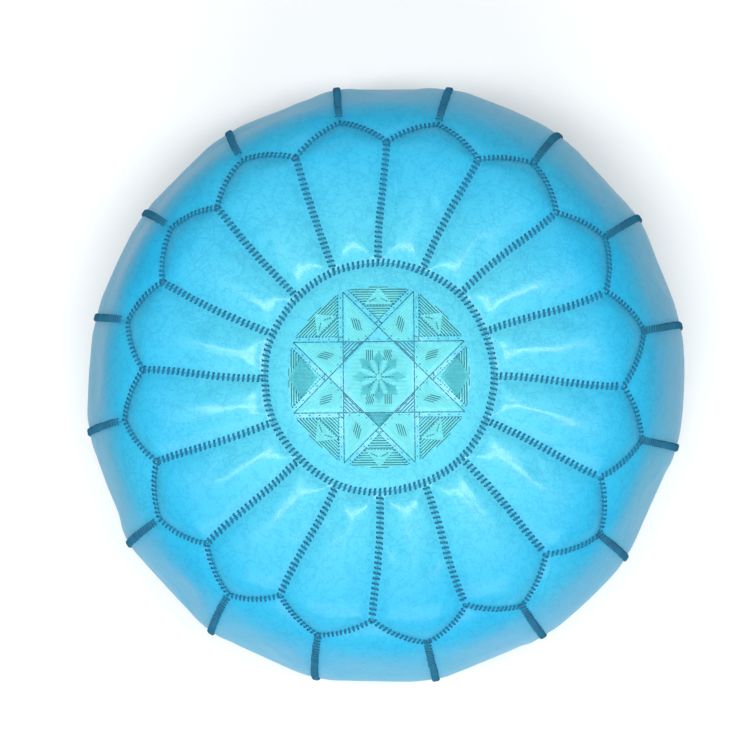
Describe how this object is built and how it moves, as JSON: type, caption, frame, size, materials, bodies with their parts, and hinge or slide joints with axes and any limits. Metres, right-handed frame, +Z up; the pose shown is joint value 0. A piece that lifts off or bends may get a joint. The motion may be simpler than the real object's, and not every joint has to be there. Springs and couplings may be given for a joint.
{
  "type": "round leather floor pouf",
  "caption": "Round stuffed leather floor pouf with a petal-panelled top, embroidered seams and a zip across its base.",
  "frame": {"origin": "centre of the base, in the plane it rests on", "axes": "+Z up through the medallion, +X along the zip towards its shut end, +Y towards the rear"},
  "size_m": [0.55, 0.55, 0.3404],
  "materials": {
    "cover_leather": "satin",
    "base_leather": "satin",
    "braid_thread": "satin",
    "silk_thread": "satin",
    "cotton_cloth": "matte",
    "wadding": "matte",
    "zip_tape": "matte",
    "zip_nylon": "satin",
    "zip_metal": "satin"
  },
  "bodies": {
    "pouf": {"medallion": "cover_leather", "petal_01": "cover_leather", "petal_02": "cover_leather", "petal_03": "cover_leather", "petal_04": "cover_leather", "petal_05": "cover_leather", "petal_06": "cover_leather", "petal_07": "cover_leather", "petal_08": "cover_leather", "petal_09": "cover_leather", "petal_10": "cover_leather", "petal_11": "cover_leather", "petal_12": "cover_leather", "petal_13": "cover_leather", "petal_14": "cover_leather", "petal_15": "cover_leather", "petal_16": "cover_leather", "side_panel_01": "cover_leather", "side_panel_02": "cover_leather", "side_panel_03": "cover_leather", "side_panel_04": "cover_leather", "side_panel_05": "cover_leather", "side_panel_06": "cover_leather", "side_panel_07": "cover_leather", "side_panel_08": "cover_leather", "side_panel_09": "cover_leather", "side_panel_10": "cover_leather", "side_panel_11": "cover_leather", "side_panel_12": "cover_leather", "side_panel_13": "cover_leather", "side_panel_14": "cover_leather", "side_panel_15": "cover_leather", "side_panel_16": "cover_leather", "base_half_front": "base_leather", "base_half_rear": "base_leather", "medallion_braid": "braid_thread", "radial_braids": "braid_thread", "petal_edge_braid": "braid_thread", "side_braids": "braid_thread", "silk_star": "silk_thread", "cotton_bag": "cotton_cloth", "stuffing": "wadding", "zip_tape_front": "zip_tape", "zip_tape_rear": "zip_tape", "zip_coil_front": "zip_nylon", "zip_coil_rear": "zip_nylon", "zip_top_stops": "zip_metal", "zip_bottom_stop": "zip_metal"},
    "zip_slider_body": {"zip_slider": "zip_metal"},
    "zip_pull_body": {"zip_pull": "zip_metal"}
  },
  "joints": [
    {"name": "zip_slide", "type": "slide", "parent": "pouf", "child": "zip_slider_body", "axis": [-1, 0, 0], "range_m": [0, 0.25644]},
    {"name": "pull_swing", "type": "hinge", "parent": "zip_slider_body", "child": "zip_pull_body", "pos_m": [0.12822, 0, 0.00265], "axis": [0, -1, 0], "range_deg": [0, 180]}
  ]
}
